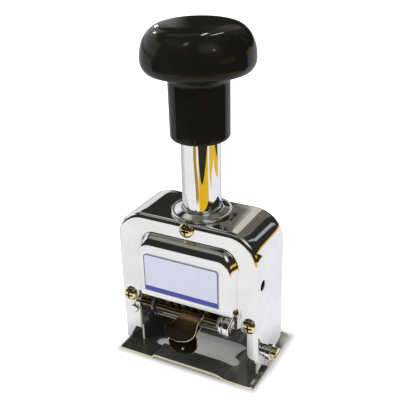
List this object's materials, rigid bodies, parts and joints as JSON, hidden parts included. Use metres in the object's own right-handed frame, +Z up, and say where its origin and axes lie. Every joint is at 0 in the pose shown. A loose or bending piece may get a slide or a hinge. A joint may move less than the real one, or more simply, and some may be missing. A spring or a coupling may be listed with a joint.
{
  "type": "hand numbering machine",
  "caption": "Hand numbering machine: a knob and sprung plunger press inked number wheels through a chromed casing onto paper, while the ink pad swings aside.",
  "frame": {"origin": "middle of the printed number on the paper, under the axle of the number wheels", "axes": "+X to the right as the user faces the label, +Y to the back, +Z up along the plunger"},
  "size_m": [0.0689, 0.0441, 0.1362],
  "materials": {
    "chrome": "mirror chrome plate",
    "label": "printed satin",
    "base_steel": "dark nickel plate",
    "brass": "polished brass",
    "nickel": "bright nickel plate",
    "steel": "plain steel, lightly oiled",
    "spring_steel": "drawn wire",
    "rubber": "matt",
    "knob_black": "high gloss",
    "wheel_brass": "inked brass",
    "bronze": "dark bronzed",
    "pad_felt": "ink-soaked felt"
  },
  "bodies": {
    "casing": {"casing_shell": "chrome", "label_plate": "label", "base_plate": "base_steel", "leg_block_left": "brass", "leg_block_right": "brass", "guide_bush": "chrome", "bush_nut": "brass", "spring_pin": "steel", "stop_ring": "rubber", "return_spring": "spring_steel", "case_screws": "brass", "side_screw": "brass", "side_rings": "nickel", "side_rivet": "brass", "latch_stud": "nickel"},
    "plunger": {"plunger_tube": "chrome", "tube_plug": "steel", "knob": "knob_black", "knob_cap": "knob_black", "knob_screw": "steel", "carriage_yoke": "steel", "guide_shoes": "brass", "wheel_axle": "steel", "axle_clips": "spring_steel", "detent_comb": "spring_steel", "selector_plate": "nickel"},
    "wheel_1": {"number_wheel_1": "wheel_brass"},
    "wheel_2": {"number_wheel_2": "wheel_brass"},
    "wheel_3": {"number_wheel_3": "wheel_brass"},
    "wheel_4": {"number_wheel_4": "wheel_brass"},
    "wheel_5": {"number_wheel_5": "wheel_brass"},
    "wheel_6": {"number_wheel_6": "wheel_brass"},
    "feed": {"feed_arm": "steel"},
    "pawl": {"feed_pawl": "spring_steel"},
    "selector": {"selector_lever": "brass"},
    "pad": {"pad_carrier": "base_steel", "pad_shaft": "nickel", "shaft_nut": "nickel", "ink_pad": "pad_felt", "lower_tab": "bronze"},
    "roller": {"pad_roller": "nickel"},
    "tab": {"upper_tab": "bronze"}
  },
  "joints": [
    {"name": "plunge", "type": "slide", "parent": "casing", "child": "plunger", "axis": [0, 0, -1], "range_m": [0, 0.018], "stiffness_N_per_m": 700, "springref_m": -0.006, "deforming": ["return_spring"]},
    {"name": "pad_swing", "type": "hinge", "parent": "plunger", "child": "pad", "pos_m": [0, 0, 0.0284], "axis": [-1, 0, 0], "range_deg": [0, 84.5]},
    {"name": "feed_swing", "type": "hinge", "parent": "plunger", "child": "feed", "pos_m": [0, 0, 0.0284], "axis": [-1, 0, 0], "range_deg": [0, 40]},
    {"name": "pawl_rock", "type": "hinge", "parent": "feed", "child": "pawl", "pos_m": [0, 0.01222, 0.03285], "axis": [1, 0, 0], "range_deg": [0, 8], "stiffness_Nm_per_rad": 0.002, "springref_deg": -11.46},
    {"name": "selector_turn", "type": "hinge", "parent": "plunger", "child": "selector", "pos_m": [-0.019, 0.013, 0.032], "axis": [0, 1, 0], "range_deg": [-60, 60]},
    {"name": "roller_spin", "type": "hinge", "parent": "pad", "child": "roller", "pos_m": [0.018, -0.0105, 0.0233], "axis": [1, 0, 0], "continuous": true},
    {"name": "tab_pinch", "type": "hinge", "parent": "pad", "child": "tab", "pos_m": [0, -0.0105, 0.0233], "axis": [1, 0, 0], "range_deg": [0, 10], "stiffness_Nm_per_rad": 0.01, "springref_deg": -17.19},
    {"name": "wheel_1_spin", "type": "hinge", "parent": "plunger", "child": "wheel_1", "pos_m": [0, 0, 0.0284], "axis": [1, 0, 0], "continuous": true},
    {"name": "wheel_2_spin", "type": "hinge", "parent": "plunger", "child": "wheel_2", "pos_m": [0, 0, 0.0284], "axis": [1, 0, 0], "continuous": true},
    {"name": "wheel_3_spin", "type": "hinge", "parent": "plunger", "child": "wheel_3", "pos_m": [0, 0, 0.0284], "axis": [1, 0, 0], "continuous": true},
    {"name": "wheel_4_spin", "type": "hinge", "parent": "plunger", "child": "wheel_4", "pos_m": [0, 0, 0.0284], "axis": [1, 0, 0], "continuous": true},
    {"name": "wheel_5_spin", "type": "hinge", "parent": "plunger", "child": "wheel_5", "pos_m": [0, 0, 0.0284], "axis": [1, 0, 0], "continuous": true},
    {"name": "wheel_6_spin", "type": "hinge", "parent": "plunger", "child": "wheel_6", "pos_m": [0, 0, 0.0284], "axis": [1, 0, 0], "continuous": true}
  ],
  "couplings": [
    {"joint": "pad_swing", "follows": "plunge", "rad_per_m": 81.45},
    {"joint": "feed_swing", "follows": "plunge", "rad_per_m": 38.7}
  ]
}
